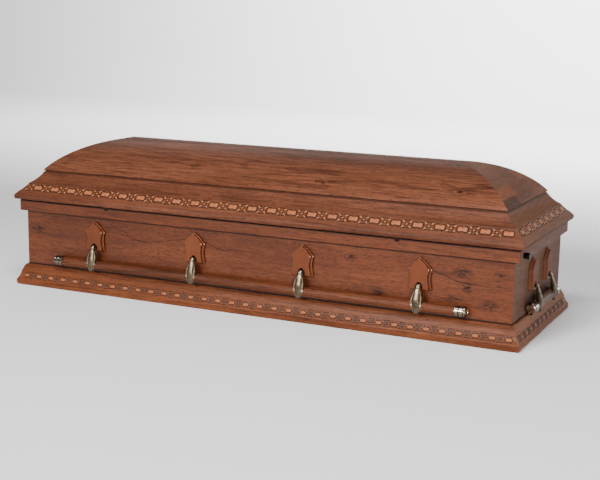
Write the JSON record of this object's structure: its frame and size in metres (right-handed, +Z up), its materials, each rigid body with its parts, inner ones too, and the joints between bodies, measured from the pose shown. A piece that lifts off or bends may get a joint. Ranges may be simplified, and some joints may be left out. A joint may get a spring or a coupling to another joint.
{
  "type": "wooden coffin",
  "caption": "Full-size rectangular wooden coffin with a domed mitred lid, carved lozenge bands, a moulded base and swing-bar handles hung on wooden plates by cast metal arms.",
  "frame": {"origin": "under the middle of the base, on the plane that it stands on", "axes": "+X along the coffin's length, towards the end with the round plug in its rail; -Y towards the front, which has the lid's catches; +Z up"},
  "size_m": [2.1538, 0.7468, 0.601],
  "materials": {
    "stained_wood": "stained and polished, with brown-red figure",
    "dome_wood": "stained and polished to a gloss",
    "plate_wood": "satin stained",
    "bar_wood": "satin stained",
    "antique_metal": "antique nickel, softly polished"
  },
  "bodies": {
    "coffin": {"box_side_front": "stained_wood", "box_end_right": "stained_wood", "box_side_back": "stained_wood", "box_end_left": "stained_wood", "box_bottom": "stained_wood", "base_moulding_front": "stained_wood", "base_moulding_right": "stained_wood", "base_moulding_back": "stained_wood", "base_moulding_left": "stained_wood", "rail_front": "stained_wood", "rail_right": "stained_wood", "rail_back": "stained_wood", "rail_left": "stained_wood", "lid_moulding_front": "stained_wood", "lid_moulding_right": "stained_wood", "lid_moulding_back": "stained_wood", "lid_moulding_left": "stained_wood", "lid_dome_front": "dome_wood", "lid_dome_right": "dome_wood", "lid_dome_back": "dome_wood", "lid_dome_left": "dome_wood", "catch_left": "antique_metal", "catch_right": "antique_metal", "end_plug": "antique_metal", "plate_front_1": "plate_wood", "plate_front_2": "plate_wood", "plate_front_3": "plate_wood", "plate_front_4": "plate_wood", "plate_right_1": "plate_wood", "plate_right_2": "plate_wood", "plate_back_1": "plate_wood", "plate_back_2": "plate_wood", "plate_back_3": "plate_wood", "plate_back_4": "plate_wood", "plate_left_1": "plate_wood", "plate_left_2": "plate_wood"},
    "handle_front": {"bar_front": "bar_wood", "bar_cap_front_1": "antique_metal", "bar_cap_front_2": "antique_metal", "arm_front_1": "antique_metal", "arm_front_2": "antique_metal", "arm_front_3": "antique_metal", "arm_front_4": "antique_metal"},
    "handle_right": {"bar_right": "bar_wood", "bar_cap_right_1": "antique_metal", "bar_cap_right_2": "antique_metal", "arm_right_1": "antique_metal", "arm_right_2": "antique_metal"},
    "handle_back": {"bar_back": "bar_wood", "bar_cap_back_1": "antique_metal", "bar_cap_back_2": "antique_metal", "arm_back_1": "antique_metal", "arm_back_2": "antique_metal", "arm_back_3": "antique_metal", "arm_back_4": "antique_metal"},
    "handle_left": {"bar_left": "bar_wood", "bar_cap_left_1": "antique_metal", "bar_cap_left_2": "antique_metal", "arm_left_1": "antique_metal", "arm_left_2": "antique_metal"}
  },
  "joints": [
    {"name": "front_handle_swing", "type": "hinge", "parent": "coffin", "child": "handle_front", "pos_m": [0, -0.3455, 0.1905], "axis": [-1, 0, 0], "range_deg": [0, 90]},
    {"name": "right_handle_swing", "type": "hinge", "parent": "coffin", "child": "handle_right", "pos_m": [1.049, 0, 0.1855], "axis": [0, -1, 0], "range_deg": [0, 90]},
    {"name": "back_handle_swing", "type": "hinge", "parent": "coffin", "child": "handle_back", "pos_m": [0, 0.3455, 0.1905], "axis": [1, 0, 0], "range_deg": [0, 90]},
    {"name": "left_handle_swing", "type": "hinge", "parent": "coffin", "child": "handle_left", "pos_m": [-1.049, 0, 0.1855], "axis": [0, 1, 0], "range_deg": [0, 90]}
  ]
}
